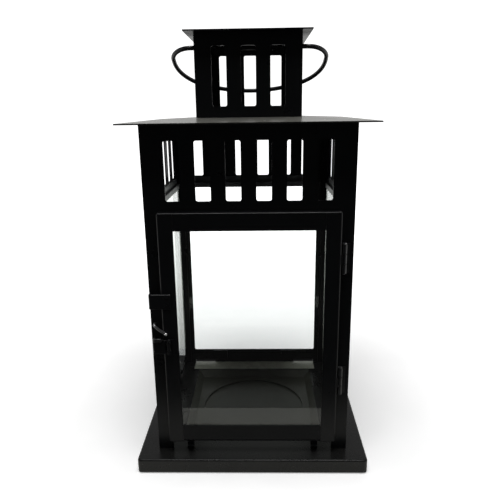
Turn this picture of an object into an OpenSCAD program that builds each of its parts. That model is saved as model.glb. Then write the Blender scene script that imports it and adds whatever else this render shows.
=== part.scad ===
// Square glazed lantern: a folded sheet-metal body on a flat base, a hinged
// glass door with a corner latch, a slotted vent head with a wire bail, and
// a solar lamp head under the flat square cap. Millimetres, +Z up, door at -Y.

/* [Base] */
// Width and depth of the base.
base_w = 150; // [120:1:200]
// Height of the top face of the base.
base_h = 10; // [8:0.5:16]
// Corner radius of the base in plan.
base_r = 2.5; // [1:0.5:10]
// Half width of the sunken floor at its upper edge.
pan_top = 48; // [40:1:52]
// Half width of the sunken floor at its lower edge.
pan_low = 43.5; // [36:0.5:50]
// Height of the sunken floor.
pan_z = 4.6; // [3.6:0.2:8]
// Radius of the round seat pressed in the sunken floor.
seat_r = 38.5; // [30:0.5:42]
// Depth of the round seat.
seat_d = 1.2; // [0.5:0.1:2]
// Radius of each rubber foot.
foot_r = 7; // [4:0.5:9]

/* [Body] */
// Outer width and depth of the glazed body.
body_w = 125; // [100:1:150]
// Height at which the walls end.
wall_top = 222.2; // [180:0.1:260]
// Sheet thickness.
sheet = 0.8; // [0.5:0.1:1.5]
// Width of the corner posts.
post_w = 9.8; // [6:0.2:16]
// Clearance under the walls between the corner legs and the middle tab.
skirt_gap = 2.4; // [1:0.1:6]
// Half width of the tab that reaches the base.
tab_half = 35; // [10:1:48]
// Half width of each side window.
win_half = 53; // [40:0.5:56]
// Lower edge of each side window.
win_low = 22.5; // [18:0.5:40]
// Upper edge of the windows and of the door opening.
win_top = 169; // [140:0.5:190]
// Width of one vent slot.
slot_w = 9; // [5:0.5:14]
// Height of one vent slot.
slot_h = 35; // [20:1:45]
// Spacing of the vent slots.
slot_pitch = 17.85; // [12:0.05:24]
// Height of the middle of the body slots.
slot_mid = 195.35; // [180:0.05:210]
// Thickness of the panes.
glass_t = 2; // [1.5:0.1:3]

/* [Door] */
// Outer half width of the door.
door_half = 54.5; // [50:0.1:60]
// Lower edge of the door.
door_low = 18.2; // [12:0.1:24]
// Upper edge of the door.
door_top = 172; // [150:0.1:190]
// Width of the door's stiles.
stile_w = 9.5; // [6:0.1:14]
// Height of the door's lower rail.
low_rail = 12.5; // [6:0.1:16]
// Height of the door's upper rail.
top_rail = 11; // [6:0.1:16]
// How far the front of the door stands off the wall.
door_proud = 5; // [3:0.1:8]
// Running gap between the door and the wall.
door_gap = 0.3; // [0.3:0.1:1]

/* [Hinges] */
// Distance of the hinge axis from the centre.
hinge_x = 56.5; // [55:0.1:60]
// Distance of the hinge axis in front of the wall.
hinge_off = 2; // [1.9:0.1:4]
// Radius of the hinge barrels.
barrel_r = 1.7; // [1.3:0.1:2.5]
// Radius of the hinge pins.
pin_r = 0.8; // [0.5:0.05:1.2]
// Running clearance of pins in their knuckles.
run_fit = 0.05; // [0.02:0.01:0.1]
// Length of each hinge.
hinge_len = 18.6; // [12:0.2:30]
// Middle height of the lower hinge.
hinge_low_z = 61.5; // [30:0.5:80]
// Middle height of the upper hinge.
hinge_top_z = 142.8; // [100:0.5:160]

/* [Latch] */
// Height of each latch strap.
strap_h = 9.6; // [6:0.1:14]
// Middle height of the fixed strap.
strap_z = 117; // [100:0.5:130]
// Middle height of the hinged strap.
hasp_z = 87.4; // [70:0.1:98]
// Distance of the fixed strap's bent end from the centre.
strap_out = 62; // [60:0.1:63]
// Inner end of the fixed strap.
strap_in = 48.6; // [46:0.1:52]
// Distance of the strap's hinge axis from the centre.
hasp_x = 50.8; // [48:0.1:53]
// Distance of the hinged strap's free end from the centre.
hasp_end = 61; // [60:0.1:63]
// Distance of the turn hook's pivot from the centre.
hook_x = 52.2; // [51:0.1:52.4]
// Height of the turn hook's pivot.
hook_z = 96.4; // [95:0.1:100]
// Length of the turn hook.
hook_len = 9; // [6:0.1:11]
// Rise of the turn hook above level.
hook_tilt = 39; // [0:1:80]

/* [Roof and chimney] */
// Width and depth of the roof.
roof_w = 147; // [130:1:180]
// Height of the roof's outer edge.
roof_z = 223; // [200:0.1:240]
// Rise of the roof to the chimney.
roof_rise = 2; // [1:0.1:10]
// Outer width of the chimney.
chimney_w = 65.3; // [50:0.1:80]
// Height at which the chimney ends.
chimney_top = 274.5; // [250:0.1:290]
// Height of the middle of the chimney slots.
vent_mid = 249.2; // [240:0.1:260]
// Width and depth of the cap.
cap_w = 76.8; // [70:0.1:100]

/* [Bail] */
// Radius of the bail wire.
wire_r = 1.5; // [1:0.1:2.5]
// Height of the bail's axis.
bail_z = 269.1; // [268:0.1:272]
// Half length of the straight ends.
bail_pin = 38.7; // [36:0.1:50]
// Radius of the shoulder bends.
bail_bend = 13.3; // [6:0.1:16]
// Length of the straight sides.
bail_side = 2.7; // [1:0.1:20]
// Radius of the side curves.
bail_curve = 36; // [30:0.1:50]
// Radius of the crown curve.
bail_crown = 68.6; // [60:0.1:120]
// Angle where side curve and crown curve meet.
bail_meet = 60.6; // [50:0.1:80]
// Angle of the bail below level, towards the back.
bail_drop = 27.3; // [0:0.1:45]

/* [Solar head] */
// Width of the panel tray on the cap.
tray_w = 58; // [40:1:60]
// Height of the panel tray.
tray_h = 1.3; // [1:0.1:3]
// Width of the solar cell.
cell_w = 50; // [30:1:54]
// Width of the lamp housing under the cap.
head_w = 49; // [40:1:54]
// Underside of the lamp housing.
head_z = 266.9; // [260:0.1:270]
// Wall thickness of the lamp housing.
head_t = 1.6; // [1:0.1:3]
// Radius of the lamp lens.
lens_r = 9; // [5:0.5:14]
// Travel of the switch slider.
slide_travel = 3; // [2:0.5:4]

/* [Hidden] */
$fn = 48;
body_half = body_w / 2;
inner_half = body_half - sheet;
door_front = body_half + door_proud;
door_back = body_half + door_gap;
hinge_y = body_half + hinge_off;
roof_low = roof_z - sheet;
chimney_low = roof_z + roof_rise;
chimney_half = chimney_w / 2;
cap_top = chimney_top + sheet;
cap_half = cap_w / 2;
glass_low = win_low - 3;
glass_top = win_top + 2.5;
glass_half = win_half + 3;
post_face = body_half + 0.4;
hasp_y = door_front + 1.5;
hasp_back = door_front + 0.6;
strap_low = strap_z - strap_h / 2;
hasp_low = hasp_z - strap_h / 2;
hook_y = door_front + 1.7;
board_z = head_z + 4.5;
floor_z = head_z + head_t;
tray_floor = cap_top + 0.6;
cell_top = tray_floor + 0.25;
switch_x = 16;
post_at = 19.6;
knuckle = hinge_len / 3;
fine = 0.3;

// Rounded rectangle centred on the origin.
module rounded(w, h, r) {
    square([w - 2 * r, h], center = true);
    square([w, h - 2 * r], center = true);
    for (sx = [-1, 1], sy = [-1, 1])
        translate([sx * (w / 2 - r), sy * (h / 2 - r)]) circle(r, $fn = 24);
}

// Row of upright vent slots centred on the origin.
module slots(count) {
    for (i = [0 : count - 1])
        translate([(i - (count - 1) / 2) * slot_pitch, 0])
            rounded(slot_w, slot_h, 1.2);
}

// Upright sheet whose outer face looks towards -Y at y = -d.
module sheet_front(d) {
    translate([0, -d + sheet, 0]) rotate([90, 0, 0])
        linear_extrude(sheet) children();
}

// Upright sheet whose outer face looks towards -X at x = -d.
module sheet_side(d) {
    translate([-d, 0, 0]) rotate([90, 0, 90])
        linear_extrude(sheet) children();
}

// Square ring between an outer edge and an inner edge at another height.
module square_ring(a, az, b, bz, t) {
    p = [[-1, -1], [1, -1], [1, 1], [-1, 1]];
    pts = concat(
        [for (q = p) [q[0] * a, q[1] * a, az]],
        [for (q = p) [q[0] * a, q[1] * a, az + t]],
        [for (q = p) [q[0] * b, q[1] * b, bz + t]],
        [for (q = p) [q[0] * b, q[1] * b, bz]]);
    faces = [for (k = [0 : 3], i = [0 : 3])
        [4 * k + i, (4 * k + 4 + i) % 16, (4 * k + 4 + (i + 1) % 4) % 16,
            4 * k + (i + 1) % 4]];
    polyhedron(pts, faces, convexity = 4);
}

// Flat square block centred in plan, from height z upwards.
module slab(w, z, h) {
    translate([-w / 2, -w / 2, z]) cube([w, w, h]);
}

// Box between two corners.
module block(a, b) {
    translate(a) cube(b - a);
}

// Vertical rod.
module rod(x, y, z, r, h, n = 32) {
    translate([x, y, z]) cylinder(r = r, h = h, $fn = n);
}

module base_tray() {
    color([0.05, 0.05, 0.055]) difference() {
        translate([0, 0, sheet]) linear_extrude(base_h - sheet)
            rounded(base_w, base_w, base_r);
        linear_extrude(base_h - sheet)
            rounded(base_w - 2 * sheet, base_w - 2 * sheet, base_r - sheet);
        slab(2 * pan_top, 0, base_h + 1);
    }
}

// Stack of sloped and round cavities that shapes the sunken floor.
module pan_form(drop) {
    lift = base_h - sheet - pan_z;
    translate([0, 0, pan_z - drop]) linear_extrude(lift + 0.01,
        scale = (pan_top + 0.01) / pan_low) square(2 * pan_low, center = true);
    rod(0, 0, pan_z - seat_d - drop, seat_r, seat_d + 1, 96);
}

module floor_pan() {
    color([0.05, 0.05, 0.055]) difference() {
        union() {
            slab(2 * pan_top + 12, base_h - 2 * sheet, sheet);
            pan_grow();
        }
        pan_form(0);
    }
}

// Outer skin of the sunken floor.
module pan_grow() {
    lift = base_h - 2 * sheet - pan_z + sheet;
    translate([0, 0, pan_z - sheet]) linear_extrude(lift,
        scale = (pan_top + sheet) / (pan_low + sheet))
        square(2 * pan_low + 2 * sheet, center = true);
    rod(0, 0, pan_z - seat_d - sheet, seat_r + sheet, seat_d + sheet, 96);
}

module foot_pads() {
    c = base_w / 2 - foot_r - 5;
    color([0.03, 0.03, 0.03]) for (sx = [-1, 1], sy = [-1, 1]) {
        rod(sx * c, sy * c, 0, foot_r, 2.4, 48);
        rod(sx * c, sy * c, 2, foot_r - 2.5, base_h - sheet - 2, 48);
    }
}

module door_stops() {
    color([0.05, 0.05, 0.055]) for (s = [-1, 1]) {
        block([s * 41.5 - 2.2, 2 - inner_half, base_h],
            [s * 41.5 + 2.2, 2.8 - inner_half, door_low - 0.6]);
        block([s * 41.5 - 2.2, -inner_half, base_h],
            [s * 41.5 + 2.2, 2 - inner_half, base_h + sheet]);
    }
}

module front_wall() {
    wide = body_half - post_w;
    color([0.05, 0.05, 0.055]) sheet_front(body_half) difference() {
        translate([-body_half, base_h]) square([body_w, wall_top - base_h]);
        translate([-wide, base_h - 1]) square([2 * wide, win_top - base_h + 1]);
        translate([0, slot_mid]) slots(6);
    }
}

// Outline of a glazed wall of the given half width.
module window_outline(half) {
    difference() {
        translate([-half, base_h]) square([2 * half, wall_top - base_h]);
        for (s = [0, 1]) mirror([s, 0]) translate([tab_half, base_h - 1])
            square([body_half - post_w - tab_half, skirt_gap + 1]);
        translate([0, (win_low + win_top) / 2])
            rounded(2 * win_half, win_top - win_low, 1.2);
        translate([0, slot_mid]) slots(6);
    }
}

module rear_wall() {
    color([0.05, 0.05, 0.055]) rotate([0, 0, 180]) sheet_front(body_half)
        window_outline(body_half);
}

module side_wall() {
    sheet_side(body_half) window_outline(inner_half);
    for (s = [-1, 1])
        block([-inner_half, s * inner_half - sheet * (s + 1) / 2, base_h],
            [5 - inner_half, s * inner_half - sheet * (s - 1) / 2, wall_top]);
}

module left_wall() {
    color([0.05, 0.05, 0.055]) side_wall();
}

module right_wall() {
    color([0.05, 0.05, 0.055]) mirror([1, 0, 0]) side_wall();
}

module pane() {
    block([-inner_half, -glass_half, glass_low],
        [glass_t - inner_half, glass_half, glass_top]);
}

module left_glass() {
    color([0.7, 0.85, 0.8, 0.3]) pane();
}

module right_glass() {
    color([0.7, 0.85, 0.8, 0.3]) mirror([1, 0, 0]) pane();
}

module rear_glass() {
    color([0.7, 0.85, 0.8, 0.3]) rotate([0, 0, -90]) pane();
}

// Folded strip that laps the edge of a pane on the left wall.
module lap_strip(half) {
    g = glass_t + 0.1;
    translate([-inner_half, half, 0]) rotate([90, 0, 0])
        linear_extrude(2 * half) polygon([[0, 5.5], [0, 1], [0, 0.1],
            [g, 0.1], [g, -3], [g + sheet, -3], [g + sheet, 0.9],
            [sheet, 0.9], [sheet, 5.5]]);
}

module left_glass_rail() {
    color([0.12, 0.12, 0.125]) translate([0, 0, glass_top]) lap_strip(52);
}

module right_glass_rail() {
    color([0.12, 0.12, 0.125]) translate([0, 0, glass_top])
        mirror([1, 0, 0]) lap_strip(52);
}

module rear_glass_rail() {
    color([0.12, 0.12, 0.125]) translate([0, 0, glass_top])
        rotate([0, 0, -90]) lap_strip(52);
}

module glass_clips() {
    color([0.12, 0.12, 0.125]) for (a = [0, -90, 180], s = [-1, 1])
        rotate([0, 0, a]) translate([0, 30 * s, glass_low])
            mirror([0, 0, 1]) lap_strip(6);
}

module roof_brackets() {
    color([0.12, 0.12, 0.125]) for (a = [0, 90, 180, 270])
        rotate([0, 0, a]) {
            block([-inner_half, -8, slot_mid + slot_h / 2 + 1],
                [sheet - inner_half, 8, wall_top]);
            block([sheet - inner_half, -8, wall_top - sheet],
                [9 - inner_half, 8, wall_top]);
        }
}

module roof_plate() {
    color([0.05, 0.05, 0.055])
        square_ring(roof_w / 2, roof_low, chimney_half - 1,
            chimney_low - sheet, sheet);
}

// Chimney wall outline.
module vent_outline(half) {
    difference() {
        translate([-half, chimney_low])
            square([2 * half, chimney_top - chimney_low]);
        translate([0, vent_mid]) slots(3);
    }
}

module chimney_front() {
    color([0.05, 0.05, 0.055]) sheet_front(chimney_half)
        vent_outline(chimney_half);
}

module chimney_rear() {
    color([0.05, 0.05, 0.055]) rotate([0, 0, 180])
        sheet_front(chimney_half) vent_outline(chimney_half);
}

module chimney_side() {
    difference() {
        sheet_side(chimney_half) vent_outline(chimney_half - sheet);
        translate([-chimney_half - 1, 0, bail_z]) rotate([0, 90, 0])
            cylinder(r = wire_r + run_fit, h = 3);
    }
}

module chimney_left() {
    color([0.05, 0.05, 0.055]) chimney_side();
}

module chimney_right() {
    color([0.05, 0.05, 0.055]) mirror([1, 0, 0]) chimney_side();
}

module cap_plate() {
    color([0.05, 0.05, 0.055]) difference() {
        slab(cap_w, chimney_top, sheet);
        rod(0, 13, chimney_top - 1, 2.5, 3);
        for (sx = [-1, 1], sy = [-1, 1])
            rod(sx * post_at, sy * post_at, chimney_top - 1, 1.05, 3);
    }
}

// Hinge parts around the axis at the origin, middle at z = 0.
module body_leaf() {
    difference() {
        union() {
            for (s = [-1, 1])
                rod(0, 0, s * knuckle - knuckle / 2 + fine / 2,
                    barrel_r, knuckle - fine);
            difference() {
                block([0, hinge_off - 0.6, -hinge_len / 2],
                    [3.7, hinge_off, hinge_len / 2]);
                block([-1, hinge_off - 1, fine / 2 - knuckle / 2 - fine],
                    [barrel_r + 0.4, hinge_off + 1,
                        knuckle / 2 + fine / 2]);
            }
        }
        rod(0, 0, -hinge_len, pin_r, 2 * hinge_len);
    }
}

module door_leaf() {
    edge = door_half - hinge_x;
    difference() {
        union() {
            rod(0, 0, fine / 2 - knuckle / 2, barrel_r, knuckle - fine);
            block([edge, 0.2 - door_proud + hinge_off, fine / 2 - knuckle / 2],
                [edge + 0.7, hinge_off - door_gap - 0.2, knuckle / 2 - fine / 2]);
        }
        rod(0, 0, -hinge_len, pin_r + run_fit, 2 * hinge_len);
    }
}

// Places its children at both hinges.
module at_hinges() {
    for (z = [hinge_low_z, hinge_top_z])
        translate([hinge_x, -hinge_y, z]) children();
}

module body_hinge_leaves() {
    color([0.06, 0.06, 0.065]) at_hinges() body_leaf();
}

module hinge_pins() {
    color([0.3, 0.3, 0.31]) at_hinges() {
        rod(0, 0, -hinge_len / 2 - 0.3, pin_r, hinge_len + 0.6);
        rod(0, 0, hinge_len / 2, 1.2, 0.5);
    }
}

module door_hinge_leaves() {
    color([0.06, 0.06, 0.065]) at_hinges() door_leaf();
}

module door_stile() {
    difference() {
        block([stile_w - door_half - stile_w, -door_front, door_low],
            [stile_w - door_half, -door_back, door_top]);
        block([sheet - door_half, sheet - door_front, door_low + sheet],
            [stile_w - door_half + 1, 1 - door_back, door_top - sheet]);
    }
}

module door_left_stile() {
    color([0.05, 0.05, 0.055]) difference() {
        door_stile();
        for (z = [strap_z - 2.4, strap_z + 2.4])
            translate([-51, -door_front - 1, z]) rotate([-90, 0, 0])
                cylinder(r = 0.85, h = 3);
        translate([-hook_x, -door_front - 1, hook_z]) rotate([-90, 0, 0])
            cylinder(r = 0.6 + run_fit, h = 3);
    }
}

module door_right_stile() {
    color([0.05, 0.05, 0.055]) mirror([1, 0, 0]) door_stile();
}

module door_top_rail() {
    half = door_half - stile_w;
    color([0.05, 0.05, 0.055]) difference() {
        block([-half, -door_front, door_top - top_rail],
            [half, -door_back, door_top]);
        block([-half - 1, sheet - door_front, door_top - top_rail - 1],
            [half + 1, 1 - door_back, door_top - sheet]);
    }
}

module door_low_rail() {
    half = door_half - stile_w;
    color([0.05, 0.05, 0.055]) difference() {
        block([-half, -door_front, door_low],
            [half, -door_back, door_low + low_rail]);
        block([-half - 1, sheet - door_front, door_low + sheet],
            [half + 1, 1 - door_back, door_low + low_rail + 1]);
    }
}

module door_corner_plates() {
    y = sheet - door_front;
    color([0.1, 0.1, 0.105]) for (s = [-1, 1], z = [door_low + sheet,
            door_top - sheet - 6.5])
        block([s * 46 - 7.6, y, z], [s * 46 + 7.6, y + sheet, z + 6.5]);
}

module door_glass() {
    y = sheet - door_front;
    color([0.7, 0.85, 0.8, 0.3])
        block([-48, y, door_low + low_rail - 3],
            [48, y + glass_t, door_top - top_rail + 2.6]);
}

// Clip that laps the edge of the door's pane, pointing to +X.
module door_clip() {
    y = sheet - door_front;
    block([48.3, y, -5], [53.5, y + sheet, 5]);
    block([48.3, y + sheet, -5], [49.1, y + glass_t + 0.1 + sheet, 5]);
    block([46, y + glass_t + 0.1, -5], [48.3, y + glass_t + 0.1 + sheet, 5]);
}

module door_glass_clips() {
    color([0.12, 0.12, 0.125]) for (z = [45, 90, 145], s = [0, 1])
        translate([0, 0, z]) mirror([s, 0, 0]) door_clip();
}

// Flat strap from x to end on a face at -y, its end bent back to the left
// front post.
module strap(x, y, z, end) {
    translate([0, 0, z]) linear_extrude(strap_h) polygon([
        [-x, -y - sheet], [-end, -y - sheet], [-end, -post_face],
        [sheet - end, -post_face], [sheet - end, -y], [-x, -y]]);
}

module latch_strap() {
    color([0.06, 0.06, 0.065]) difference() {
        strap(strap_in, door_front, strap_low, strap_out);
        for (z = [strap_z - 2.4, strap_z + 2.4])
            translate([-51, -door_front - 2, z]) rotate([-90, 0, 0])
                cylinder(r = 0.85, h = 3);
    }
}

module strap_rivets() {
    color([0.1, 0.1, 0.105]) for (z = [strap_z - 2.4, strap_z + 2.4])
        translate([-51, -door_front, z]) rotate([-90, 0, 0]) {
            translate([0, 0, -sheet]) cylinder(r = 0.85, h = 2 * sheet);
            translate([0, 0, -sheet - 0.5]) cylinder(r = 1.5, h = 0.5);
            translate([0, 0, sheet]) cylinder(r = 1.4, h = 0.5);
        }
}

module hasp_leaf() {
    color([0.06, 0.06, 0.065]) difference() {
        union() {
            block([-hasp_x, -door_front - 0.6, hasp_low],
                [-45.8, -door_front, hasp_low + strap_h]);
            for (z = [hasp_low, hasp_low + strap_h - 2.2])
                rod(-hasp_x, -hasp_y, z, 1.2, 2.2);
        }
        block([-hasp_x - 2, -door_front - 2, hasp_low + 2.2],
            [-hasp_x + 1.6, -door_front + 1, hasp_low + strap_h - 2.2]);
        rod(-hasp_x, -hasp_y, hasp_low - 1, 0.6, strap_h + 2);
    }
}

module hasp_pin() {
    color([0.3, 0.3, 0.31])
        rod(-hasp_x, -hasp_y, hasp_low - 0.3, 0.6, strap_h + 0.6);
}

module latch_hasp() {
    mid = strap_h - 5;
    color([0.06, 0.06, 0.065]) difference() {
        union() {
            rod(-hasp_x, -hasp_y, hasp_low + 2.5, 1.2, mid);
            block([-hasp_x - 1.8, -hasp_back - sheet, hasp_low + 2.5],
                [-hasp_x, -hasp_back, hasp_low + 2.5 + mid]);
            strap(hasp_x + 1.6, hasp_back, hasp_low, hasp_end);
            translate([0.7 - hasp_end, -hasp_back - 1, hasp_low + strap_h])
                rotate([0, 90, 0]) cylinder(r = 1.2, h = 5.3);
        }
        rod(-hasp_x, -hasp_y, hasp_low - 1, 0.6 + run_fit, strap_h + 2);
    }
}

module latch_hook() {
    color([0.25, 0.25, 0.26]) translate([-hook_x, -hook_y, hook_z]) {
        sphere(r = 1.4, $fn = 32);
        rotate([-90, 0, 0]) cylinder(r = 0.6, h = 3.2, $fn = 24);
        translate([0, 2.8, 0]) rotate([-90, 0, 0])
            cylinder(r = 1.1, h = 0.5, $fn = 24);
        rotate([0, -90 + hook_tilt, 0]) {
            cylinder(r = 0.9, h = hook_len, $fn = 24);
            translate([0, 0, hook_len]) sphere(r = 0.9, $fn = 24);
            translate([0, 0, hook_len]) rotate([-90, 0, 0])
                cylinder(r = 0.9, h = 4, $fn = 24);
        }
    }
}

// Points [x, r, heading] of the bail along an arc in its own plane.
function bend_path(x, r, radius, a, b, steps) = [for (i = [1 : steps])
    let (t = a + (b - a) * i / steps)
        [x + radius * cos(t), r + radius * sin(t), t + 90]];

// Centre line of the whole bail, from one inner end to the other.
function bail_path() =
    let (low = bail_bend + bail_side, side = bail_pin + bail_bend - bail_curve,
        drop = low - (bail_crown - bail_curve) * sin(bail_meet),
        far = 180 - bail_meet)
    concat([[28.4, 0, 0], [bail_pin, 0, 0]],
        bend_path(bail_pin, bail_bend, bail_bend, -90, 0, 9),
        [[bail_pin + bail_bend, low, 90]],
        bend_path(side, low, bail_curve, 0, bail_meet, 8),
        bend_path(0, drop, bail_crown, bail_meet, far, 10),
        bend_path(-side, low, bail_curve, far, 180, 8),
        [[-bail_pin - bail_bend, bail_bend, 270]],
        bend_path(-bail_pin, bail_bend, bail_bend, 180, 270, 9),
        [[-28.4, 0, 360]]);

// Round wire swept along the bail's centre line.
module bail_wire() {
    path = bail_path();
    n = 16;
    last = len(path) - 1;
    pts = [for (p = path, k = [0 : n - 1]) let (a = 360 * k / n)
        [p[0] - wire_r * cos(a) * sin(p[2]), p[1] + wire_r * cos(a) * cos(p[2]),
            wire_r * sin(a)]];
    sides = [for (i = [0 : last - 1], k = [0 : n - 1])
        let (a = i * n, b = a + n, m = (k + 1) % n)
            [a + k, b + k, b + m, a + m]];
    polyhedron(pts, concat(sides, [[for (k = [0 : n - 1]) k],
        [for (k = [n - 1 : -1 : 0]) last * n + k]]), convexity = 6);
}

module bail_handle() {
    color([0.08, 0.08, 0.085]) translate([0, 0, bail_z])
        rotate([-bail_drop, 0, 0]) bail_wire();
}

module bail_retainers() {
    color([0.3, 0.3, 0.31]) for (s = [-1, 1])
        translate([s * 30.9 - 0.5, 0, bail_z]) rotate([0, 90, 0])
            difference() {
                cylinder(r = 3.2, h = 1);
                translate([0, 0, -1]) cylinder(r = wire_r, h = 3, $fn = 24);
            }
}

module solar_tray() {
    color([0.03, 0.03, 0.03]) difference() {
        slab(tray_w, cap_top, tray_h);
        slab(cell_w + 0.8, tray_floor, 5);
        rod(0, 13, cap_top - 1, 2.5, 3);
    }
}

module solar_cell() {
    color([0.03, 0.05, 0.14]) slab(cell_w, tray_floor, 0.25);
}

module solar_cover() {
    color([0.8, 0.85, 0.9, 0.3])
        slab(cell_w + 0.6, cell_top, cap_top + tray_h - cell_top);
}

module lamp_housing() {
    h = chimney_top - head_z;
    color([0.03, 0.03, 0.03]) difference() {
        union() {
            difference() {
                slab(head_w, head_z, h);
                slab(head_w - 2 * head_t, floor_z, h);
            }
            for (sx = [-1, 1], sy = [-1, 1])
                rod(sx * post_at, sy * post_at, floor_z - 0.5, 2.9,
                    h - head_t + 0.5);
        }
        for (sx = [-1, 1], sy = [-1, 1]) {
            rod(sx * post_at, sy * post_at, head_z - 1, 2, 3);
            rod(sx * post_at, sy * post_at, head_z - 1, 1.05, h + 2);
        }
        rod(0, 0, head_z - 1, lens_r - 1, head_t + 2, 64);
        block([switch_x - 1.6, -3.2, head_z - 1],
            [switch_x + 1.6, 3.2, floor_z + 1]);
    }
}

module lamp_board() {
    color([0.06, 0.2, 0.1])
        block([-21.5, -9.5, board_z], [21.5, 9.5, board_z + 1]);
}

module board_parts() {
    z = board_z + 1;
    color([0.02, 0.02, 0.02]) {
        block([-14, -3, z], [-8, 2, z + 1.2]);
        block([5, -2, z], [8, 0, z + 0.8]);
        block([11, 3, z], [15, 6, z + 1.2]);
        rod(-16, 5, z, 2, 1.5, 32);
    }
}

module lamp_led() {
    color([0.95, 0.85, 0.4]) {
        block([-1.8, -1.8, board_z - 0.9], [1.8, 1.8, board_z]);
        rod(0, 0, board_z - 1.3, 1.4, 0.4, 32);
    }
}

module lamp_lens() {
    color([0.9, 0.92, 0.95, 0.4]) {
        rod(0, 0, floor_z, lens_r, 1, 64);
        rod(0, 0, head_z + 0.6, lens_r - 1.2, head_t - 0.6, 64);
    }
}

module battery() {
    color([0.1, 0.25, 0.5])
        block([-16, 10.4, floor_z], [16, 22.2, floor_z + 3.8]);
}

module cell_leads() {
    color([0.5, 0.05, 0.05]) for (x = [-1.1, 1.1]) {
        rod(x, 13, board_z + 2.6, 0.5, tray_floor - board_z - 2.6, 16);
        translate([x, 12, board_z + 2.6]) rotate([0, 90, 0])
            rotate([0, 0, 0]) rotate_extrude(angle = 90, $fn = 48)
                translate([1, 0]) circle(0.5, $fn = 16);
        translate([x, 8, board_z + 1.6]) rotate([-90, 0, 0])
            cylinder(r = 0.5, h = 4, $fn = 16);
    }
}

module battery_leads() {
    z = floor_z + 1;
    color([0.5, 0.05, 0.05]) for (s = [0, 1])
        translate([-16, 12 + 3 * s, z + s]) {
            rotate([0, -90, 0]) cylinder(r = 0.5, h = 1.4, $fn = 16);
            translate([-1.4, 0, 0]) sphere(r = 0.5, $fn = 16);
            translate([-1.4, 0, 0]) rotate([90, 0, 0])
                cylinder(r = 0.5, h = 4 + 3 * s, $fn = 16);
        }
}

module switch_body() {
    z = floor_z;
    color([0.55, 0.56, 0.57]) difference() {
        block([switch_x - 2.8, -5.2, z], [switch_x + 2.8, 5.2, board_z]);
        block([switch_x - 1.6, -3.2, z - 1], [switch_x + 1.6, 3.2, z + 2.1]);
    }
}

module switch_slider() {
    color([0.6, 0.6, 0.6])
        block([switch_x - 1.3, -2.9, head_z + 0.2],
            [switch_x + 1.3, 2.9 - slide_travel, head_z + 2.2 + head_t - 0.6]);
}

module head_screws() {
    color([0.6, 0.6, 0.62]) for (sx = [-1, 1], sy = [-1, 1])
        translate([sx * post_at, sy * post_at, 0]) {
            difference() {
                rod(0, 0, head_z + 0.4, 1.9, 1.6);
                for (a = [0, 90]) rotate([0, 0, a])
                    block([-1.1, -0.25, head_z], [1.1, 0.25, head_z + 1.1]);
            }
            rod(0, 0, head_z + 2, 1.0, cap_top - head_z - 2.05);
        }
}

base_tray();
floor_pan();
foot_pads();
door_stops();
front_wall();
left_wall();
right_wall();
rear_wall();
left_glass();
right_glass();
rear_glass();
left_glass_rail();
right_glass_rail();
rear_glass_rail();
glass_clips();
roof_brackets();
roof_plate();
chimney_front();
chimney_rear();
chimney_left();
chimney_right();
cap_plate();
body_hinge_leaves();
hinge_pins();
door_left_stile();
door_right_stile();
door_top_rail();
door_low_rail();
door_corner_plates();
door_glass();
door_glass_clips();
door_hinge_leaves();
latch_strap();
strap_rivets();
hasp_leaf();
hasp_pin();
latch_hasp();
latch_hook();
bail_handle();
bail_retainers();
solar_tray();
solar_cell();
solar_cover();
lamp_housing();
lamp_board();
board_parts();
lamp_led();
lamp_lens();
battery();
cell_leads();
battery_leads();
switch_body();
switch_slider();
head_screws();
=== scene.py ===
import math

import bmesh
import bpy
from mathutils import Matrix, Vector


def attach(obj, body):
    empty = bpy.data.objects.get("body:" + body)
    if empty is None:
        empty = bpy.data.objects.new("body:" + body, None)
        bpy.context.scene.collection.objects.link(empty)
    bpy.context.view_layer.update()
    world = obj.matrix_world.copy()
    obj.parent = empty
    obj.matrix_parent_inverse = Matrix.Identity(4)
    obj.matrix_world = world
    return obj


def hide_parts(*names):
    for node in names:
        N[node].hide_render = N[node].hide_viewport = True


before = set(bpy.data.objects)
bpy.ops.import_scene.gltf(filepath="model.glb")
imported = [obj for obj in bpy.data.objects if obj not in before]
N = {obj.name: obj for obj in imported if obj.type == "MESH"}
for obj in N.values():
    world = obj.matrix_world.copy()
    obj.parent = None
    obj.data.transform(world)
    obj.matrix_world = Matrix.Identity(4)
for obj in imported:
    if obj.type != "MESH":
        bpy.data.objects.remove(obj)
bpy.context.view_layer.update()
scene = bpy.context.scene
MM = 0.001


# ---------------------------------------------------------------- materials

def shader(name):
    """New node material: returns it with its nodes, links and shader."""
    m = bpy.data.materials.new(name)
    m.use_nodes = True
    nodes, links = m.node_tree.nodes, m.node_tree.links
    return m, nodes, links, nodes["Principled BSDF"]


def coords(nodes, links, scale=(1, 1, 1)):
    """Object coordinates, stretched by scale."""
    co = nodes.new("ShaderNodeTexCoord")
    mp = nodes.new("ShaderNodeMapping")
    mp.inputs["Scale"].default_value = scale
    links.new(co.outputs["Object"], mp.inputs["Vector"])
    return mp.outputs["Vector"]


def noise(nodes, links, vector, scale, detail=3.0, rough=0.5):
    """Noise pattern from 0 to 1."""
    n = nodes.new("ShaderNodeTexNoise")
    n.inputs["Scale"].default_value = scale
    n.inputs["Detail"].default_value = detail
    n.inputs["Roughness"].default_value = rough
    links.new(vector, n.inputs["Vector"])
    return n.outputs["Fac"]


def ramp(nodes, links, fac, stops):
    """Colour ramp with (position, colour) stops."""
    r = nodes.new("ShaderNodeValToRGB")
    while len(r.color_ramp.elements) < len(stops):
        r.color_ramp.elements.new(0.5)
    for e, (p, c) in zip(r.color_ramp.elements, stops):
        e.position = p
        e.color = (*c, 1) if len(c) == 3 else c
    links.new(fac, r.inputs["Fac"])
    return r.outputs["Color"]


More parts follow.
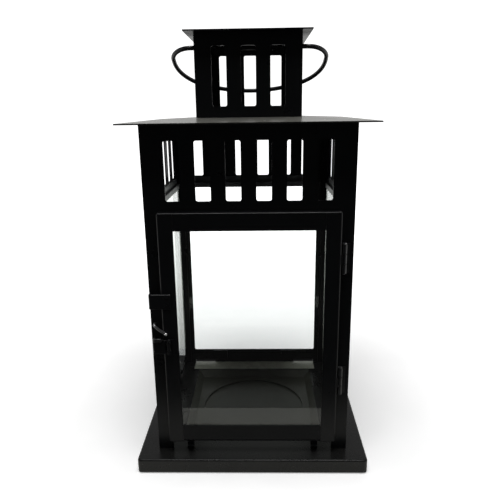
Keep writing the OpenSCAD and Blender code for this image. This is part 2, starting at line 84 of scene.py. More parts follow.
def axes(nodes, links, space="Object"):
    """The X, Y and Z outputs of a coordinate space."""
    co = nodes.new("ShaderNodeTexCoord")
    xyz = nodes.new("ShaderNodeSeparateXYZ")
    links.new(co.outputs[space], xyz.inputs["Vector"])
    return xyz.outputs


def math_node(nodes, links, operation, a, b=None, c=None, clamp=False):
    """Math node whose inputs are each a number or an output."""
    n = nodes.new("ShaderNodeMath")
    n.operation = operation
    n.use_clamp = clamp
    for socket, value in zip(n.inputs, (a, b, c)):
        if isinstance(value, (int, float)):
            socket.default_value = value
        elif value is not None:
            links.new(value, socket)
    return n.outputs[0]


def map_range(nodes, links, value, start, end, low=0.0, high=1.0,
              smooth=False):
    """Maps start and end to low and high, eased at both ends if smooth."""
    r = nodes.new("ShaderNodeMapRange")
    if smooth:
        r.interpolation_type = "SMOOTHSTEP"
    for key, number in (("From Min", start), ("From Max", end),
                        ("To Min", low), ("To Max", high)):
        r.inputs[key].default_value = number
    links.new(value, r.inputs["Value"])
    return r.outputs["Result"]


def mix_colour(nodes, links, factor, first, second):
    """Colour mix; each colour is an output or plain numbers."""
    n = nodes.new("ShaderNodeMix")
    n.data_type = "RGBA"
    links.new(factor, n.inputs["Factor"])
    for socket, colour in ((n.inputs[6], first), (n.inputs[7], second)):
        if isinstance(colour, tuple):
            socket.default_value = colour
        else:
            links.new(colour, socket)
    return n.outputs[2]


def spread(nodes, links, fac, low, high):
    """Maps the middle of a 0 to 1 pattern to a range of values."""
    return map_range(nodes, links, fac, 0.3, 0.7, low, high)


def bump(nodes, links, height, strength, distance, under=None):
    """Surface normal from a height pattern, on top of another one if given."""
    b = nodes.new("ShaderNodeBump")
    b.inputs["Strength"].default_value = strength
    b.inputs["Distance"].default_value = distance
    links.new(height, b.inputs["Height"])
    if under:
        links.new(under, b.inputs["Normal"])
    return b.outputs["Normal"]


def paint(name, dark, light, rough_low, rough_high, peel=0.1, shine=0.35,
          wave=0.02):
    """Sprayed semi-gloss paint: orange peel, faint dust and handling marks."""
    m, nodes, links, s = shader(name)
    v = coords(nodes, links)
    cloud = noise(nodes, links, v, 22, 5, 0.6)
    links.new(ramp(nodes, links, cloud, [(0.3, dark), (0.75, light)]),
              s.inputs["Base Color"])
    smear = noise(nodes, links, v, 60, 4, 0.65)
    links.new(spread(nodes, links, smear, rough_low, rough_high),
              s.inputs["Roughness"])
    skin = noise(nodes, links, v, 900, 2, 0.5)
    swell = noise(nodes, links, v, 25, 2, 0.4)
    low = bump(nodes, links, swell, wave, 0.001)
    links.new(bump(nodes, links, skin, peel, 0.0004, low), s.inputs["Normal"])
    s.inputs["Specular IOR Level"].default_value = shine
    return m


def metal(name, dark, light, rough, stretch=(1, 1, 12)):
    """Plated or bare wire and pins, with drawn lines along the length."""
    m, nodes, links, s = shader(name)
    v = coords(nodes, links, stretch)
    grain = noise(nodes, links, v, 500, 3, 0.6)
    links.new(ramp(nodes, links, grain, [(0.3, dark), (0.7, light)]),
              s.inputs["Base Color"])
    links.new(spread(nodes, links, grain, rough - 0.07, rough + 0.1),
              s.inputs["Roughness"])
    links.new(bump(nodes, links, grain, 0.1, 0.0002), s.inputs["Normal"])
    s.inputs["Metallic"].default_value = 1.0
    return m


GLASS_IOR = 1.65
GLASS_SHADE = (0.9, 0.92, 0.905, 1)


def glass(name, tint, tone):
    """Float glass: clear, faintly green, with light smears and dust."""
    m, nodes, links, s = shader(name)
    v = coords(nodes, links)
    smear = noise(nodes, links, v, 35, 5, 0.6)
    links.new(ramp(nodes, links, smear, [(0.3, tint), (0.8, tone)]),
              s.inputs["Base Color"])
    s.inputs["Roughness"].default_value = 0.0
    s.inputs["Transmission Weight"].default_value = 1.0
    s.inputs["IOR"].default_value = GLASS_IOR
    # Shadow, diffuse and mirror rays pass straight through, unrefracted.
    path = nodes.new("ShaderNodeLightPath")
    straight = math_node(nodes, links, "SUBTRACT",
                         path.outputs["Is Glossy Ray"],
                         path.outputs["Is Transmission Ray"], clamp=True)
    for kind in ("Is Shadow Ray", "Is Diffuse Ray"):
        straight = math_node(nodes, links, "MAXIMUM", straight,
                             path.outputs[kind])
    clear = nodes.new("ShaderNodeBsdfTransparent")
    clear.inputs["Color"].default_value = GLASS_SHADE
    pick = nodes.new("ShaderNodeMixShader")
    links.new(straight, pick.inputs[0])
    links.new(s.outputs[0], pick.inputs[1])
    links.new(clear.outputs[0], pick.inputs[2])
    links.new(pick.outputs[0], nodes["Material Output"].inputs["Surface"])
    return m


def plastic(name, dark, light, rough, grain=700, depth=0.25):
    """Moulded plastic with a fine spark-eroded grain."""
    m, nodes, links, s = shader(name)
    v = coords(nodes, links)
    cloud = noise(nodes, links, v, 45, 4, 0.6)
    links.new(ramp(nodes, links, cloud, [(0.3, dark), (0.7, light)]),
              s.inputs["Base Color"])
    tex = noise(nodes, links, v, grain, 3, 0.6)
    links.new(spread(nodes, links, tex, rough - 0.06, rough + 0.08),
              s.inputs["Roughness"])
    links.new(bump(nodes, links, tex, depth, 0.0003), s.inputs["Normal"])
    return m


def tune(material, sockets):
    """Sets plain values on the sockets of a material's own shader."""
    s = material.node_tree.nodes["Principled BSDF"]
    for key, value in sockets.items():
        s.inputs[key].default_value = value


JET = (0.005, 0.0053, 0.006), (0.007, 0.0073, 0.008)
BLACK = paint("black_paint", *JET, 0.27, 0.32, shine=0.22)
TOP = paint("black_paint_base", (0.006, 0.006, 0.006),
            (0.009, 0.009, 0.0085), 0.25, 0.31, 0.008, wave=0.002)
PAN = paint("black_paint_floor", (0.045, 0.0455, 0.036),
            (0.06, 0.061, 0.049), 0.28, 0.35, 0.01, 0.2, 0.002)
LOW = paint("black_paint_low", *JET, 0.27, 0.32, shine=0.12)
ROOF = paint("black_paint_roof", (0.012, 0.012, 0.0115),
             (0.018, 0.018, 0.0165), 0.22, 0.28, 0.05, 0.5, 0.01)
tune(ROOF, {"Sheen Weight": 0.42, "Sheen Roughness": 0.3,
            "Sheen Tint": (1.0, 0.99, 0.88, 1)})
CAP = paint("black_paint_cap", *JET, 0.3, 0.36, 0.05, 0.1, 0.01)
HINGE = paint("black_paint_hinge", (0.006, 0.0063, 0.007),
              (0.009, 0.0093, 0.01), 0.3, 0.36, 0.04, 0.5, 0.004)
DULL = paint("black_paint_dull", *JET, 0.4, 0.5, 0.04, 0.08, 0.004)
INNER = paint("grey_paint", (0.03, 0.031, 0.033), (0.055, 0.056, 0.058),
              0.3, 0.45)
STEEL = metal("plated_steel", (0.32, 0.32, 0.33), (0.55, 0.55, 0.56), 0.3)
WIRE = paint("wire_paint", (0.008, 0.008, 0.009), (0.015, 0.015, 0.016),
             0.22, 0.34, 0.08)
PANE = glass("float_glass", (0.985, 0.997, 0.992), (0.975, 0.992, 0.985))
RUBBER = plastic("rubber", (0.012, 0.012, 0.012), (0.03, 0.03, 0.03), 0.75,
                 400, 0.5)
PLASTIC = plastic("black_plastic", (0.006, 0.006, 0.0065),
                  (0.012, 0.012, 0.013), 0.7)
tune(PLASTIC, {"Specular IOR Level": 0.12})
SHADE = plastic("lamp_black", (0.003, 0.003, 0.0032), (0.006, 0.006, 0.0065),
                0.9)
tune(SHADE, {"Specular IOR Level": 0.0})
LENS = plastic("smoked_lens", (0.02, 0.02, 0.02), (0.035, 0.035, 0.034), 0.6)
tune(LENS, {"Specular IOR Level": 0.0, "Transmission Weight": 0.3})
HOOK = metal("hook_steel", (0.16, 0.16, 0.17), (0.3, 0.3, 0.31), 0.33,
             (12, 1, 1))
BALL = metal("polished_ball", (0.5, 0.5, 0.5), (0.65, 0.65, 0.65), 0.2)


def painted_light_border(m):
    """Pale band painted on the base in front of the rear wall as painted
    light, with a sheen on it, and uneven gloss.
    """
    nodes, links = m.node_tree.nodes, m.node_tree.links
    s = nodes["Principled BSDF"]
    x, y, z = axes(nodes, links)
    far = math_node(nodes, links, "ABSOLUTE", x)
    front = map_range(nodes, links, y, 0.0478, 0.049)
    rear = map_range(nodes, links, y, 0.0622, 0.0618)
    middle = map_range(nodes, links, far, 0.053, 0.0522)
    band = math_node(nodes, links, "MULTIPLY", front, rear)
    band = math_node(nodes, links, "MULTIPLY", band, middle)
    # Painted light: the band's pale colour stands in for the light that strip
    # catches; this noise mottles it.
    mottle = noise(nodes, links, coords(nodes, links), 160, 4, 0.6)
    tone = ramp(nodes, links, mottle, [(0.3, (0.3, 0.305, 0.26)),
                                     (0.7, (0.38, 0.385, 0.33))])
    plain = s.inputs["Base Color"].links[0].from_socket
    links.new(mix_colour(nodes, links, band, plain, tone),
              s.inputs["Base Color"])
    # Hardly any gloss behind the rear wall, and more on the rim than on top.
    behind = map_range(nodes, links, y, 0.0625, 0.0635)
    behind = math_node(nodes, links, "MULTIPLY", behind, middle)
    fall = map_range(nodes, links, behind, 0.0, 1.0, 1.0, 0.02)
    rim = map_range(nodes, links, z, 0.0088, 0.0098, 0.42, 0.16)
    links.new(math_node(nodes, links, "MULTIPLY", fall, rim),
              s.inputs["Specular IOR Level"])
    links.new(math_node(nodes, links, "MULTIPLY", band, 0.5),
              s.inputs["Sheen Weight"])
    s.inputs["Sheen Roughness"].default_value = 0.35
    s.inputs["Sheen Tint"].default_value = (1.0, 0.99, 0.9, 1)


# Painted light: a pale band on the base in front of the rear wall.
painted_light_border(TOP)


def cell_material():
    """Blue-black silicon cell with thin silver fingers and busbars."""
    m, nodes, links, s = shader("solar_silicon")
    x, y, _ = axes(nodes, links)

    def line(out, pitch, width):
        """1 on thin lines every pitch along a coordinate."""
        wave = math_node(nodes, links, "PINGPONG", out, pitch / 2)
        return math_node(nodes, links, "LESS_THAN", wave, width / 2)

    fingers = line(x, 2.0 * MM, 0.14 * MM)
    bars = line(y, 24.0 * MM, 1.4 * MM)
    silver = math_node(nodes, links, "MAXIMUM", fingers, bars)
    v = coords(nodes, links)
    grain = nodes.new("ShaderNodeTexVoronoi")
    grain.inputs["Scale"].default_value = 180
    links.new(v, grain.inputs["Vector"])
    blue = ramp(nodes, links, grain.outputs["Color"],
                [(0.1, (0.006, 0.012, 0.05)), (0.9, (0.015, 0.035, 0.12))])
    links.new(mix_colour(nodes, links, silver, blue, (0.55, 0.56, 0.58, 1)),
              s.inputs["Base Color"])
    links.new(spread(nodes, links, noise(nodes, links, v, 300), 0.18, 0.3),
              s.inputs["Roughness"])
    return m


def board_material():
    """Green solder mask with faint tracks."""
    m, nodes, links, s = shader("circuit_green")
    v = coords(nodes, links)
    brick = nodes.new("ShaderNodeTexBrick")
    brick.inputs["Scale"].default_value = 260
    brick.inputs["Mortar Size"].default_value = 0.03
    brick.inputs["Color1"].default_value = (0.01, 0.085, 0.03, 1)
    brick.inputs["Color2"].default_value = (0.012, 0.1, 0.035, 1)
    brick.inputs["Mortar"].default_value = (0.03, 0.2, 0.07, 1)
    links.new(v, brick.inputs["Vector"])
    links.new(brick.outputs["Color"], s.inputs["Base Color"])
    links.new(spread(nodes, links, noise(nodes, links, v, 500), 0.25, 0.4),
              s.inputs["Roughness"])
    return m


CELL = cell_material()
BOARD = board_material()
COVER = glass("clear_cover", (0.97, 0.98, 0.99), (0.94, 0.96, 0.98))
LED = plastic("led_phosphor", (0.75, 0.55, 0.08), (0.9, 0.72, 0.2), 0.3, 300,
              0.1)
WRAP = plastic("battery_wrap", (0.02, 0.07, 0.22), (0.035, 0.11, 0.3), 0.3,
               200, 0.1)
LEAD = plastic("lead_red", (0.25, 0.01, 0.01), (0.4, 0.02, 0.02), 0.4, 300,
               0.1)


def coat(material, *names):
    """Gives CAD nodes a material."""
    for name in names:
        o = N[name]
        o.data.materials.clear()
        o.data.materials.append(material)


coat(BLACK, "front_wall", "left_wall", "right_wall", "rear_wall",
     "chimney_front", "chimney_rear", "chimney_left", "chimney_right",
     "strap_rivets", "bail_retainers", "door_left_stile",
     "door_right_stile", "door_top_rail", "door_low_rail", "latch_strap",
     "latch_hasp", "glass_clips")
coat(HINGE, "body_hinge_leaves", "door_hinge_leaves")
coat(DULL, "hasp_leaf", "door_stops")
coat(CAP, "cap_plate")
coat(TOP, "base_tray")
coat(PAN, "floor_pan")
coat(ROOF, "roof_plate")
coat(INNER, "left_glass_rail", "right_glass_rail", "rear_glass_rail",
     "roof_brackets", "door_corner_plates", "door_glass_clips")
coat(STEEL, "hinge_pins", "hasp_pin", "head_screws", "switch_body",
     "latch_hook")
coat(WIRE, "bail_handle")
coat(PANE, "left_glass", "right_glass", "rear_glass", "door_glass")
coat(RUBBER, "foot_pads")
coat(PLASTIC, "solar_tray", "board_parts", "switch_slider")
coat(SHADE, "lamp_housing")
coat(CELL, "solar_cell")
coat(COVER, "solar_cover")
coat(LENS, "lamp_lens")
coat(BOARD, "lamp_board")
coat(LED, "lamp_led")
coat(WRAP, "battery")
coat(LEAD, "cell_leads", "battery_leads")


# ------------------------------------------------------------ edge softening

def soften(width, *names, segments=2, angle=32):
    """Rounds the sharp edges of CAD nodes with a small bevel."""
    for name in names:
        b = N[name].modifiers.new("edge", "BEVEL")
        b.width = width * MM
        b.segments = segments
        b.limit_method = "ANGLE"
        b.angle_limit = math.radians(angle)
        b.harden_normals = False
        b.use_clamp_overlap = True


soften(0.22, "front_wall", "left_wall", "right_wall", "rear_wall",
       "chimney_front", "chimney_rear", "chimney_left", "chimney_right",
       "roof_plate")
soften(0.1, "cap_plate")
soften(0.28, "body_hinge_leaves", "door_hinge_leaves", segments=3)
soften(0.5, "floor_pan", segments=3)
soften(0.15, "left_glass", "right_glass", "rear_glass", "door_glass")
soften(0.12, "hinge_pins", "door_stops", "glass_clips", "left_glass_rail",
       "right_glass_rail", "rear_glass_rail", "roof_brackets", "hasp_leaf",
       "bail_retainers", "solar_tray", "lamp_housing", "battery",
       "board_parts", "switch_body", "switch_slider", "door_corner_plates",
       "door_glass_clips")


# ------------------------------------------------------------ built pieces

def piece(name, bm, material, body, slot, *nodes, sharp=35):
    """Finished object from bm, in millimetres, that stands for nodes."""
    bmesh.ops.recalc_face_normals(bm, faces=bm.faces)
    for f in bm.faces:
        f.smooth = True
    me = bpy.data.meshes.new(name)
    bm.to_mesh(me)
    bm.free()
    me.transform(Matrix.Scale(MM, 4))
    me.set_sharp_from_angle(angle=math.radians(sharp))
    me.materials.append(material)
    o = bpy.data.objects.new(name, me)
    scene.collection.objects.link(o)
    flat = o.modifiers.new("flat", "WEIGHTED_NORMAL")
    flat.keep_sharp = True
    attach(o, body)
    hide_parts(*nodes)
    return o


def skin(bm, rings, closed_ring=True, closed_way=False):
    """Faces between rows of points; returns the rows of vertices."""
    rows = [[bm.verts.new(p) for p in ring] for ring in rings]
    n = len(rows[0])
    pairs = list(zip(rows, rows[1:]))
    if closed_way:
        pairs.append((rows[-1], rows[0]))
    for a, b in pairs:
        for i in range(n if closed_ring else n - 1):
            j = (i + 1) % n
            bm.faces.new((a[i], a[j], b[j], b[i]))
    return rows


def tube(bm, path, radius, sides=20, dome=4):
    """Round wire along path with rounded ends."""
    path = [Vector(p) for p in path]
    ways = [(b - a).normalized() for a, b in zip(path, path[1:])]
    tans = [ways[0]] + [(a + b).normalized() for a, b in zip(ways, ways[1:])]
    tans.append(ways[-1])
    side = tans[0].orthogonal().normalized()
    rings = []
    frames = []
    for t in tans:
        side = (side - t * side.dot(t)).normalized()
        frames.append((side, t.cross(side)))

    def ring(centre, across, r):
        u, v = across
        return [centre + r * (math.cos(a) * u + math.sin(a) * v)
                for a in (2 * math.pi * k / sides for k in range(sides))]

    angles = [math.pi / 2 * k / dome for k in range(1, dome)]
    for a in reversed(angles):
        rings.append(ring(path[0] - tans[0] * 0.6 * radius * math.sin(a),
                          frames[0], radius * math.cos(a)))
    for p, across in zip(path, frames):
        rings.append(ring(p, across, radius))
    for a in angles:
        rings.append(ring(path[-1] + tans[-1] * 0.6 * radius * math.sin(a),
                          frames[-1], radius * math.cos(a)))
    rows = skin(bm, rings)
    bm.faces.new(rows[0])
    bm.faces.new(rows[-1])


def lathe(bm, profile, at, axis="Z", sides=40):
    """Turned solid: profile is (radius, height) from one pole to the other."""
    turn = {"Z": Matrix.Identity(3),
            "-Y": Matrix.Rotation(math.radians(90), 3, "X")}[axis]
    at = Vector(at)
    rings = [[at + turn @ Vector((r * math.cos(a), r * math.sin(a), h))
              for a in (2 * math.pi * k / sides for k in range(sides))]
             for r, h in profile]
    rows = skin(bm, rings)
    bm.faces.new(rows[0])
    bm.faces.new(rows[-1])


def arc(cx, cy, r, a, b, steps):
    """Points of an arc, from angle a to b in degrees."""
    return [(cx + r * math.cos(t), cy + r * math.sin(t)) for t in
            (math.radians(a + (b - a) * i / steps) for i in range(steps + 1))]


def rounded_path(points, radius, steps=5):
    """Flat path through points with each inner corner rounded."""
    out = [Vector(points[0])]
    for a, b, c in zip(points, points[1:], points[2:]):
        a, b, c = Vector(a), Vector(b), Vector(c)
        u, v = (a - b).normalized(), (c - b).normalized()
        cut = min(radius / math.tan(u.angle(v) / 2), (a - b).length / 2,
                  (c - b).length / 2)
        p, q = b + u * cut, b + v * cut
        for i in range(steps + 1):
            t = i / steps
            out.append((1 - t) ** 2 * p + 2 * t * (1 - t) * b + t * t * q)
    out.append(Vector(points[-1]))
    return out


def folded(name, low, high, open_sides, radius, sheet, *rest, **more):
    """Folded sheet box, open on some sides, with rounded outer folds."""
    bm = bmesh.new()
    bmesh.ops.create_cube(bm, size=1)
    low, high = Vector(low), Vector(high)
    for v in bm.verts:
        v.co = Vector((a if c < 0 else b for c, a, b in zip(v.co, low, high)))
    mid = (low + high) / 2
    gone = []
    for f in bm.faces:
        way = f.calc_center_median() - mid
        k = max(range(3), key=lambda i: abs(way[i]) / (high[i] - low[i]))
        if ("+" if way[k] > 0 else "-") + "xyz"[k] in open_sides:
            gone.append(f)
    bmesh.ops.delete(bm, geom=gone, context="FACES")
    folds = [e for e in bm.edges if len(e.link_faces) == 2]
    bmesh.ops.bevel(bm, geom=folds, offset=radius, offset_type="OFFSET",
                    segments=5, profile=0.5, affect="EDGES")
    bmesh.ops.recalc_face_normals(bm, faces=bm.faces)
    outward = sum((f.normal.dot(f.calc_center_median() - mid)
                   for f in bm.faces))
    if outward < 0:
        bmesh.ops.reverse_faces(bm, faces=bm.faces)
    bmesh.ops.solidify(bm, geom=bm.faces, thickness=sheet)
    return piece(name, bm, *rest, **more)


DOOR_FRONT, DOOR_BACK = 67.5, 62.8
DOOR_HALF, STILE, RAIL_TOP, RAIL_LOW = 54.5, 9.5, 11.0, 12.5
DOOR_LOW, DOOR_TOP = 18.2, 172.0
SHEET, FOLD, LOW_FOLD = 0.8, 1.1, 2.4
BUTT_GAP = 0.04


def door_frame():
    """Four folded channels: two full-height stiles and two rails between."""
    inner = DOOR_HALF - STILE
    for side, name, lo, hi, open_x in (
            (-1, "door_left_stile", -DOOR_HALF, -inner, "+x"),
            (1, "door_right_stile", inner, DOOR_HALF, "-x")):
        folded(name + "_fold", (lo, -DOOR_FRONT, DOOR_LOW),
               (hi, -DOOR_BACK, DOOR_TOP), (open_x, "+y"), FOLD, SHEET,
               BLACK, "door", "black_steel", name)
    for name, lo, hi, open_z, fold, material in (
            ("door_top_rail", DOOR_TOP - RAIL_TOP, DOOR_TOP, "-z", FOLD,
             BLACK),
            ("door_low_rail", DOOR_LOW, DOOR_LOW + RAIL_LOW, "+z", LOW_FOLD,
             LOW)):
        folded(name + "_fold", (BUTT_GAP - inner, -DOOR_FRONT, lo),
               (inner - BUTT_GAP, -DOOR_BACK, hi),
               ("-x", "+x", "+y", open_z), fold, SHEET, material, "door",
               "black_steel", name)


def base():
    """Deep-drawn base: rounded corners, rounded top edge, open underneath."""
    half, corner, edge, hole = 75.0, 2.5, 1.1, 48.0
    rim_low, top = 0.8, 10.0

    def loop(inset, z):
        r = max(corner - inset, 0.05)
        h = half - inset
        pts = []
        for k, (sx, sy) in enumerate(((1, 1), (-1, 1), (-1, -1), (1, -1))):
            pts += [(x, y, z) for x, y in
                    arc(sx * (h - r), sy * (h - r), r, 90 * k, 90 * k + 90, 6)]
        return pts

    inner = edge - SHEET
    prof = [(0, rim_low)] + [(edge - edge * math.cos(a),
                              top - edge + edge * math.sin(a))
                             for a in (math.pi / 2 * i / 6
                                       for i in range(7))]
    prof += [(half - hole, top), (half - hole, top - SHEET)]
    prof += [(edge - inner * math.cos(a), top - edge + inner * math.sin(a))
             for a in (math.pi / 2 * i / 3 for i in range(3, -1, -1))]
    prof += [(SHEET, rim_low)]
    bm = bmesh.new()
    skin(bm, [loop(d, z) for d, z in prof], closed_way=True)
    piece("base_tray_drawn", bm, TOP, "lantern", "black_steel", "base_tray",
          sharp=40)


def bail():
    """Bent wire: a pin and a tight bend at each end, and a bowed crown."""
    z, pin, bend, side, curve = 269.1, 38.7, 13.3, 2.7, 36.0
    crown, meet, drop = 68.6, 60.6, math.radians(27.3)
    end, wire = 28.6, 1.5
    low = bend + side
    flat = [(end, 0), ((pin + end) / 2, 0)]
    flat += arc(pin, bend, bend, -90, 0, 14)
    flat += arc(pin + bend - curve, low, curve, 0, meet, 14)
    centre = low - (crown - curve) * math.sin(math.radians(meet))
    flat += arc(0, centre, crown, meet, 90, 12)[1:]
    flat += [(-x, r) for x, r in reversed(flat[:-1])]
    path = [(x, r * math.cos(drop), z - r * math.sin(drop)) for x, r in flat]
    bm = bmesh.new()
    tube(bm, path, wire, 24)
    piece("bail_wire", bm, WIRE, "bail", "black_steel", "bail_handle")


def strip(bm, points, thick, low, high, radius=1.1, edge=0.3):
    """Flat strip bent along points in plan, its outer face on the path."""
    path = rounded_path(points, radius)
    ways = [(b - a).normalized() for a, b in zip(path, path[1:])]
    tans = [ways[0]] + [(a + b).normalized() for a, b in zip(ways, ways[1:])]
    tans.append(ways[-1])
    rings = []
    for p, t in zip(path, tans):
        n = Vector((-t.y, t.x))
        q = p + n * thick
        m, k = p + n * edge, q - n * edge
        rings.append([(p.x, p.y, low + edge), (p.x, p.y, high - edge),
                      (m.x, m.y, high), (k.x, k.y, high),
                      (q.x, q.y, high - edge), (q.x, q.y, low + edge),
                      (k.x, k.y, low), (m.x, m.y, low)])
    rows = skin(bm, rings)
    bm.faces.new(rows[0])
    bm.faces.new(rows[-1])


POST_FACE = 62.9


def straps():
    """Fixed strap and swinging strap, each bent back to the front post."""
    bm = bmesh.new()
    face = DOOR_FRONT + SHEET
    strip(bm, [(-62, -POST_FACE), (-62, -face), (-48.6, -face)],
          SHEET, 112.2, 121.8)
    piece("latch_strap_bent", bm, BLACK, "door", "black_steel", "latch_strap")

    bm = bmesh.new()
    hasp_rear = 68.1
    face = hasp_rear + SHEET
    strip(bm, [(-61, -POST_FACE), (-61, -face), (-52.4, -face)],
          SHEET, 82.6, 92.2)
    strip(bm, [(-53.2, -face), (-51.2, -face)], SHEET, 85.1, 89.7)
    plain = set(bm.faces)
    lathe(bm, [(0.7, 0), (1.1, 0), (1.2, 0.12), (1.2, 4.48), (1.1, 4.6),
               (0.7, 4.6)], (-50.8, -69.0, 85.1))
    for f in bm.faces:
        f.material_index = 0 if f in plain else 1
    tube(bm, [(x, -69.1, 92.2) for x in (-59.6, -57.5, -55.7)], 1.2, 20)
    o = piece("latch_hasp_bent", bm, BLACK, "hasp", "black_steel",
              "latch_hasp")
    o.data.materials.append(DULL)

    bm = bmesh.new()
    for z in (114.6, 119.4):
        lathe(bm, [(0.2, 1.0), (0.9, 0.98), (1.3, 0.9), (1.5, SHEET + 0.02),
                   (1.5, SHEET), (0.85, SHEET), (0.85, -SHEET),
                   (1.4, -SHEET), (1.3, -1.2), (0.4, -1.3)],
              (-51, -DOOR_FRONT, z), "-Y")
    piece("strap_rivets_domed", bm, DULL, "door", "bright_steel",
          "strap_rivets")


def hook():
    """Bent wire hook on a ball-headed pivot."""
    x0, y0, z0 = -52.2, -69.2, 96.4
    tilt = math.radians(39)
    reach, lip, wire_radius = 9.0, 0.9, 0.85
    out = Vector((-math.cos(tilt), 0, math.sin(tilt)))
    sag = Vector((math.sin(tilt), 0, math.cos(tilt)))
    start = Vector((x0, y0, z0))
    path = [start + out * reach * t - sag * 0.35 * math.sin(math.pi * t)
            for t in (i / 12 for i in range(12))]
    tip = start + out * reach
    path += [tip + out * lip * math.sin(a) - out * lip
             + Vector((0, lip - lip * math.cos(a), 0))
             for a in (math.pi / 2 * i / 6 for i in range(1, 7))]
    path += [path[-1] + Vector((0, d, 0)) for d in (1.4, 2.6)]
    bm = bmesh.new()
    tube(bm, path, wire_radius, 18)
    wire = set(bm.faces)
    lathe(bm, [(0.25, 1.4), (0.6, 1.2), (0.88, 0.8), (1.0, 0.3), (1.02, 0),
               (0.98, -0.5), (0.85, -1.0), (0.6, -1.2), (0.6, -2.7),
               (1.0, -2.8), (1.1, -3.0), (1.0, -3.3), (0.3, -3.3)],
          start, "-Y", 32)
    for f in bm.faces:
        f.material_index = 0 if f in wire else 1
    o = piece("latch_hook_bent", bm, HOOK, "hook", "bright_steel",
              "latch_hook")
    o.data.materials.append(BALL)


def feet():
    """Rubber pads with a rounded rim and a shallow cup underneath."""
    bm = bmesh.new()
    for sx in (-1, 1):
        for sy in (-1, 1):
            lathe(bm, [(0.5, 0.5), (4.2, 0.5), (4.8, 0.1), (5.3, 0.0),
                       (6.3, 0.0), (6.85, 0.2), (7.0, 0.7), (7.0, 1.9),
                       (6.8, 2.3), (6.4, 2.4), (4.5, 2.4), (4.5, 9.1),
                       (4.3, 9.2), (0.5, 9.2)], (63 * sx, 63 * sy, 0))
    piece("foot_pads_moulded", bm, RUBBER, "lantern", "rubber_pad",
          "foot_pads")


def lamp():
    """Ribbed lens disc, domed LED and soft leads inside the head."""
    bm = bmesh.new()
    prof = [(0.2, 267.5), (1.2, 267.5)]
    for k in range(6):
        r = 1.2 + 1.05 * k
        prof += [(r + 0.8, 267.62), (r + 1.05, 267.5)]
    prof += [(7.7, 267.5), (7.8, 267.6), (7.8, 268.5), (8.9, 268.5),
             (9.0, 268.6), (9.0, 269.4), (8.9, 269.5), (0.2, 269.5)]
    lathe(bm, prof, (0, 0, 0), sides=64)
    piece("lamp_lens_ribbed", bm, LENS, "lantern", "clear_cover",
          "lamp_lens", sharp=20)

    bm = bmesh.new()
    lathe(bm, [(0.15, 270.1), (0.7, 270.17), (1.15, 270.35), (1.4, 270.5),
               (1.9, 270.5), (2.0, 270.6), (2.0, 271.4), (0.2, 271.4)],
          (0, 0, 0), sides=32)
    piece("lamp_led_domed", bm, LED, "lantern", "led_yellow", "lamp_led")

    bm = bmesh.new()
    for x in (-1.1, 1.1):
        tube(bm, [(x, 8.2, 273.0), (x, 10.4, 273.0)]
             + [(x, 12 + math.sin(a), 274.0 - math.cos(a))
                for a in (math.pi / 2 * i / 8 for i in range(9))]
             + [(x, 13, 274.6), (x, 13, 275.7)], 0.5, 16)
    piece("cell_leads_soft", bm, LEAD, "lantern", "lead_red", "cell_leads")

    bm = bmesh.new()
    for k in (0, 1):
        y, z = 12 + 3 * k, 269.5 + k
        tube(bm, [(-16.1, y, z), (-16.7, y, z)]
             + [(-16.7 - 0.7 * math.sin(a), y - 0.7 + 0.7 * math.cos(a), z)
                for a in (math.pi / 2 * i / 6 for i in range(1, 7))]
             + [(-17.4, y - 2.4, z), (-17.4, y - 3.6 - 3 * k, z)], 0.5, 16)
    piece("battery_leads_soft", bm, LEAD, "lantern", "lead_red",
          "battery_leads")


door_frame()
base()
bail()
straps()
hook()
feet()
lamp()


# ------------------------------------------------------------------- stage

# The floor nearer the camera than this is left out of reflections, so that
# the lantern's front stays dark.
TABLE_EDGE = -0.135
FLOOR_REACH = 6


def floor_material():
    """Pale floor that fades to white away from the lantern."""
    m, nodes, links, s = shader("pale_floor")
    grain = noise(nodes, links, coords(nodes, links), 40, 4)
    path = nodes.new("ShaderNodeLightPath")
    # A dimmer floor for mirror rays than for the camera.
    mirror = math_node(nodes, links, "SUBTRACT",
                       path.outputs["Is Glossy Ray"],
                       path.outputs["Is Transmission Ray"], clamp=True)
    pale = ramp(nodes, links, grain, [(0.3, (0.84, 0.84, 0.84)),
                                      (0.7, (0.88, 0.88, 0.88))])
    dim = ramp(nodes, links, grain, [(0.3, (0.52, 0.52, 0.48)),
                                     (0.7, (0.56, 0.56, 0.52))])
    links.new(mix_colour(nodes, links, mirror, pale, dim),
              s.inputs["Base Color"])
    s.inputs["Roughness"].default_value = 0.7
    far = nodes.new("ShaderNodeVectorMath")
    far.operation = "LENGTH"
    links.new(coords(nodes, links), far.inputs[0])
    glow = map_range(nodes, links, far.outputs["Value"], 0.12, 0.6, 0.0, 0.9,
                     smooth=True)
    # Brighter where the camera sees it, directly or through a pane.
    through = math_node(nodes, links, "MULTIPLY",
                        path.outputs["Is Transmission Ray"], 1.6)
    direct = math_node(nodes, links, "MAXIMUM",
                       path.outputs["Is Camera Ray"], through)
    s.inputs["Emission Color"].default_value = (1, 1, 1, 1)
    links.new(math_node(nodes, links, "MULTIPLY_ADD", direct, 0.3, glow),
              s.inputs["Emission Strength"])
    return m


def stage_mesh(name, verts, faces, material):
    """Mesh that is part of the stage and not of the lantern."""
    me = bpy.data.meshes.new(name)
    me.from_pydata(verts, [], faces)
    o = bpy.data.objects.new(name, me)
    scene.collection.objects.link(o)
    me.materials.append(material)
    for p in me.polygons:
        p.use_smooth = True
    return o


def floor_part(name, near, far, shown_in_gloss):
    """Pale floor from y = near to y = far."""
    wide = FLOOR_REACH
    o = stage_mesh(name, [(-wide, near, 0), (wide, near, 0), (wide, far, 0),
                          (-wide, far, 0)], [(0, 1, 2, 3)], FLOOR)
    o.visible_glossy = shown_in_gloss
    o.visible_diffuse = shown_in_gloss
    o.visible_transmission = shown_in_gloss


FLOOR = floor_material()
floor_part("floor_front", -FLOOR_REACH, TABLE_EDGE, False)
floor_part("floor", TABLE_EDGE, FLOOR_REACH, True)


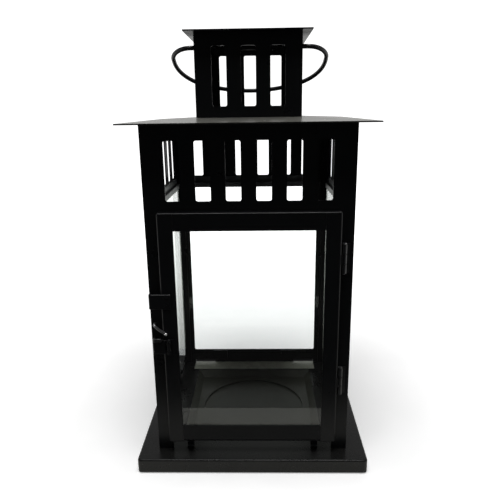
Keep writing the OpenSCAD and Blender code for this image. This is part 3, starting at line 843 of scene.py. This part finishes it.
def area(name, where, target, size, size_y, power):
    """Rectangular lamp at where, facing target."""
    d = bpy.data.lights.new(name, "AREA")
    d.shape = "RECTANGLE"
    d.size, d.size_y = size, size_y
    d.energy = power
    o = bpy.data.objects.new(name, d)
    scene.collection.objects.link(o)
    o.location = where
    way = Vector(target) - Vector(where)
    o.rotation_mode = "QUATERNION"
    o.rotation_quaternion = way.to_track_quat("-Z", "Y")


area("top_softbox", (0, -0.22, 1.3), (0, 0, 0), 0.7, 0.5, 14)

BACK_LIGHT, DIM_LIGHT, SIDE_LIGHT, SEEN_LIGHT = 0.8, 0.02, 0.5, 1.25


def studio_world():
    """Bright behind and beside the lantern, dim in front, white where seen."""
    world = bpy.data.worlds.new("studio")
    scene.world = world
    world.use_nodes = True
    nodes, links = world.node_tree.nodes, world.node_tree.links
    sky = nodes["Background"]
    x, y, z = axes(nodes, links, "Generated")

    def math_of(operation, a, b=None):
        return math_node(nodes, links, operation, a, b)

    def fade(out, start, end, low, high):
        return map_range(nodes, links, out, start, end, low, high, True)

    behind = fade(y, 0.1, 0.6, 0, 1)
    low = fade(z, 0.45, 0.75, 1, 0)
    aside = fade(math_of("ABSOLUTE", x), 0.55, 0.8, 0, 1)
    back = math_of("MULTIPLY", math_of("MULTIPLY", behind, low), BACK_LIGHT)
    sides = math_of("MULTIPLY", math_of("MULTIPLY", aside, low), SIDE_LIGHT)
    env = math_of("MAXIMUM", math_of("ADD", back, DIM_LIGHT), sides)
    path = nodes.new("ShaderNodeLightPath")
    bounces = math_of("ADD", path.outputs["Diffuse Depth"],
                      path.outputs["Glossy Depth"])
    through = math_of("MULTIPLY", path.outputs["Is Transmission Ray"],
                      math_of("LESS_THAN", bounces, 0.5))
    seen = math_of("MAXIMUM", path.outputs["Is Camera Ray"], through)
    pick = nodes.new("ShaderNodeMix")
    links.new(seen, pick.inputs[0])
    links.new(env, pick.inputs[2])
    pick.inputs[3].default_value = SEEN_LIGHT
    links.new(pick.outputs[0], sky.inputs["Strength"])
    sky.inputs["Color"].default_value = (1, 1, 1, 1)


studio_world()


# ------------------------------------------------------------------- camera

PITCH, YAW, ROLL = 15.31, 1.33, 0.756
CAMERA_AT = (7.2, -361.9, 230.1)
FOCAL, SENSOR = 37.16, 36.0


def camera():
    """Camera near roof height, close to the object, looking slightly down."""
    d = bpy.data.cameras.new("camera")
    d.lens, d.sensor_width = FOCAL, SENSOR
    d.clip_start = 0.01
    o = bpy.data.objects.new("camera", d)
    scene.collection.objects.link(o)
    p, w, r = (math.radians(a) for a in (PITCH, YAW, ROLL))
    ahead = Vector((-math.sin(w) * math.cos(p), math.cos(w) * math.cos(p),
                    -math.sin(p)))
    right = Vector((math.cos(w), math.sin(w), 0))
    up = right.cross(ahead)
    side = math.cos(r) * right - math.sin(r) * up
    top = math.sin(r) * right + math.cos(r) * up
    m = Matrix((side, top, -ahead)).transposed().to_4x4()
    m.translation = Vector(CAMERA_AT) * MM
    o.matrix_world = m
    scene.camera = o


camera()
scene.view_settings.view_transform = "Standard"
scene.view_settings.look = "None"
